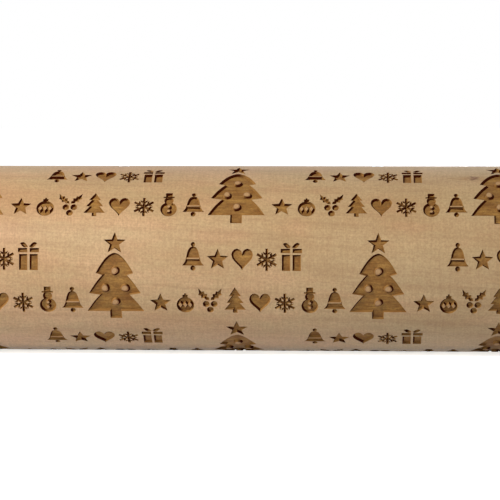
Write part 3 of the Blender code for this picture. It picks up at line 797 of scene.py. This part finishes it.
def metal(name, colour, roughness, per_mm):
    """Metal with fine marks that are darker and rougher."""
    nodes = new_material(name)
    marks = nodes.noise(per_mm, 3, 0.6)
    darker = linear([c * MARK_SHADE for c in colour])
    shade = nodes.mix(nodes.math("MULTIPLY", marks, MARK_SHARE), linear(colour), darker)
    rough = nodes.math("ADD", nodes.math("MULTIPLY", marks, MARK_ROUGHNESS), roughness)
    return nodes.surface(shade, rough, marks, METAL_RELIEF, Metallic=1.0)


def nylon():
    nodes = new_material("moulded_nylon")
    grain = nodes.noise((2.0, 2.0, 2.0), 2)
    return nodes.surface(nodes.mix(grain, linear(NYLON_DARK), linear(NYLON_LIGHT)), 0.45, grain, WOOD_RELIEF)


# The pin

barrel_wood = bare_wood("barrel_wood", (0, 0, 0), 0.45, knotted=True)
handle_wood = bare_wood("handle_wood", (57, 11, 5), 0.42)
bearing_steel = metal("ground_steel", BEARING_STEEL, 0.16, (1.0, 6.0, 6.0))
rod_steel = metal("drawn_steel", DRAWN_STEEL, 0.26, (0.05, 5.0, 5.0))
zinc = metal("zinc_plating", ZINC, 0.32, (1.5, 1.5, 1.5))
cage_nylon = nylon()

barrel_looks = [
    barrel_wood, burnt_floor(), charred_wall_and_painted_shade(), browned_wood("toasted_wood", TOASTED_WOOD, 0.6),
    # The balls' rims: laser browning, and painted shade on their side away from the key lamp
    browned_wood("scorched_and_shaded_wood", SCORCHED_AND_SHADED_WOOD, 0.8),
]
piece("carved_barrel", carved_barrel(), barrel_looks, "barrel", "barrel")

# The rings at both ends of the barrel: piece, CAD node, hole, chamfer, material, body and slot
RINGS = (
    ("bearing_outer_ring", "outer_race", 0.0094, 0.0004, bearing_steel, "barrel", "bearing_steel"),
    ("bearing_inner_ring", "inner_race", AXLE_HOLE, 0.0003, bearing_steel, ROOT, "bearing_steel"),
    ("bearing_shield", "outer_shield", 0.00637, 0.00008, zinc, "barrel", "zinc_plated_steel"),
    ("spacer_ring", "thrust_washer", AXLE_HOLE, 0.0003, zinc, ROOT, "zinc_plated_steel"),
)
for end, side in ENDS:
    handle = lathe("turned_handle", handle_profile(), side, HANDLE_SIDES)
    piece("turned_handle_" + end, handle, [handle_wood], ROOT, "handle_" + end)
    plug = lathe("wooden_button", plug_profile(), side)
    piece("wooden_button_" + end, plug, [handle_wood], ROOT, "end_plug_" + end)
    for name, node, hole, chamfer, material, body, slot in RINGS:
        ring = lathe(name, ring_profile(node + "_right", hole, chamfer), side)
        piece(f"{name}_{end}", ring, [material], body, f"{node}_{end}")

# The CAD's own solids, by the start of their names
CARRIED = {
    "axle_rod": rod_steel, "distance_tube": zinc, "handle_washer": zinc, "lock_nut": zinc,
    "inner_shield": zinc, "ball_cage": cage_nylon, "bearing_ball": bearing_steel,
}
for name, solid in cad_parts.items():
    for start, material in CARRIED.items():
        if name.startswith(start):
            solid.data.materials.clear()
            solid.data.materials.append(material)

# Floor, lights and camera. A lamp has its offset from the middle of the view, its width, watts and colour.

FIELD_OF_VIEW = radians(12.99)
CAMERA_DISTANCE = 0.595
CAMERA_ELEVATION = radians(4.0)
CAMERA_YAW = radians(2.7)
AIM_X = 0.0184
AIM_UP = 0.00225
SENSOR = 36.0
STUDIO_HALF = 4.0
STUDIO_COLOUR = (0.76, 0.84, 1.0, 1.0)
GLOW_COLOUR = (1.0, 0.98, 0.93, 1.0)
GLOW_NEAR, GLOW_FAR = 0.78, 1.0
FADE_START, FADE_END = 0.25, 1.0
WORLD_LIGHT = 0.29
WORLD_COLOUR = (0.76, 0.9, 1.0)
LAMPS = {
    "key": ((-0.19, -0.21, 0.175), 0.03, 0.48, (1.0, 0.94, 0.84)),
    "soft": ((-0.13, -0.27, 0.12), 0.24, 0.2, (1.0, 0.94, 0.87)),
    "fill": ((0.24, -0.2, 0.18), 0.14, 0.16, (1.0, 0.96, 0.9)),
    "back": ((0.06, 0.36, 0.015), 0.12, 0.5, (1.0, 0.96, 0.9)),
}


def look_at(thing, place, aim):
    thing.location = place
    thing.rotation_euler = (aim - place).to_track_quat("-Z", "Y").to_euler()


def area_light(name, offset, size, watts, colour):
    """A round lamp that shines at the middle of the view, unseen by the camera."""
    lamp = bpy.data.lights.new(name, "AREA")
    lamp.shape = "DISK"
    lamp.size = size
    lamp.energy = watts
    lamp.color = colour
    made = bpy.data.objects.new(name, lamp)
    bpy.context.scene.collection.objects.link(made)
    made.visible_camera = False
    middle = Vector((AIM_X, 0, 0))
    look_at(made, middle + Vector(offset), middle)


def camera_sees(nodes):
    """1 for rays from the camera, a mirror or a glass, and 0 for the light that falls on things."""
    path = nodes.add("ShaderNodeLightPath").outputs
    share = nodes.math("MAXIMUM", path["Is Camera Ray"], path["Is Glossy Ray"])
    return nodes.math("MAXIMUM", share, path["Is Transmission Ray"])


def studio_white():
    """The floor's material: matt, with a glow that only the camera, mirrors and glass see, and that rises to
    white away from the pin."""
    nodes = new_material("studio_white")
    material = nodes.surface(STUDIO_COLOUR, 0.9, Specular_IOR_Level=0.0)
    away = nodes.vector("LENGTH", nodes.coordinates("Object"))
    fade = nodes.span(away, FADE_START, FADE_END, GLOW_NEAR, GLOW_FAR)
    strength = nodes.math("MULTIPLY", camera_sees(nodes), fade)
    glow = nodes.add("ShaderNodeEmission", {"Color": GLOW_COLOUR, "Strength": strength})
    both = nodes.add("ShaderNodeAddShader", {0: nodes.shader.outputs[0], 1: glow.outputs[0]})
    nodes.put(nodes.tree.nodes["Material Output"].inputs["Surface"], both.outputs[0])
    return material


def build_floor():
    mesh = bpy.data.meshes.new("studio_floor")
    corners = box_loop(-STUDIO_HALF, -STUDIO_HALF, STUDIO_HALF, STUDIO_HALF)
    mesh.from_pydata([(x, y, 0) for x, y in corners], [], [(0, 1, 2, 3)])
    mesh.materials.append(studio_white())
    floor = bpy.data.objects.new("studio_floor", mesh)
    floor.location.z = -BARREL_RADIUS
    bpy.context.scene.collection.objects.link(floor)


def build_world():
    world = bpy.data.worlds.new("studio")
    bpy.context.scene.world = world
    nodes = Nodes(world)
    light = (*[WORLD_LIGHT * share for share in WORLD_COLOUR], 1)
    colour = nodes.mix(camera_sees(nodes), light, (1, 1, 1, 1))
    nodes.put(nodes.tree.nodes["Background"].inputs["Color"], colour)


def build_camera():
    camera = bpy.data.cameras.new("camera")
    camera.sensor_width = SENSOR
    camera.lens = SENSOR / 2 / tan(FIELD_OF_VIEW / 2)
    made = bpy.data.objects.new("camera", camera)
    bpy.context.scene.collection.objects.link(made)
    level = cos(CAMERA_ELEVATION)
    back = Vector((sin(CAMERA_YAW) * level, -cos(CAMERA_YAW) * level, sin(CAMERA_ELEVATION)))
    aim = Vector((AIM_X, 0, AIM_UP))
    look_at(made, aim + back * CAMERA_DISTANCE, aim)
    bpy.context.scene.camera = made


build_floor()
build_world()
build_camera()
for name, values in LAMPS.items():
    area_light(name, *values)
bpy.context.scene.view_settings.view_transform = "Standard"
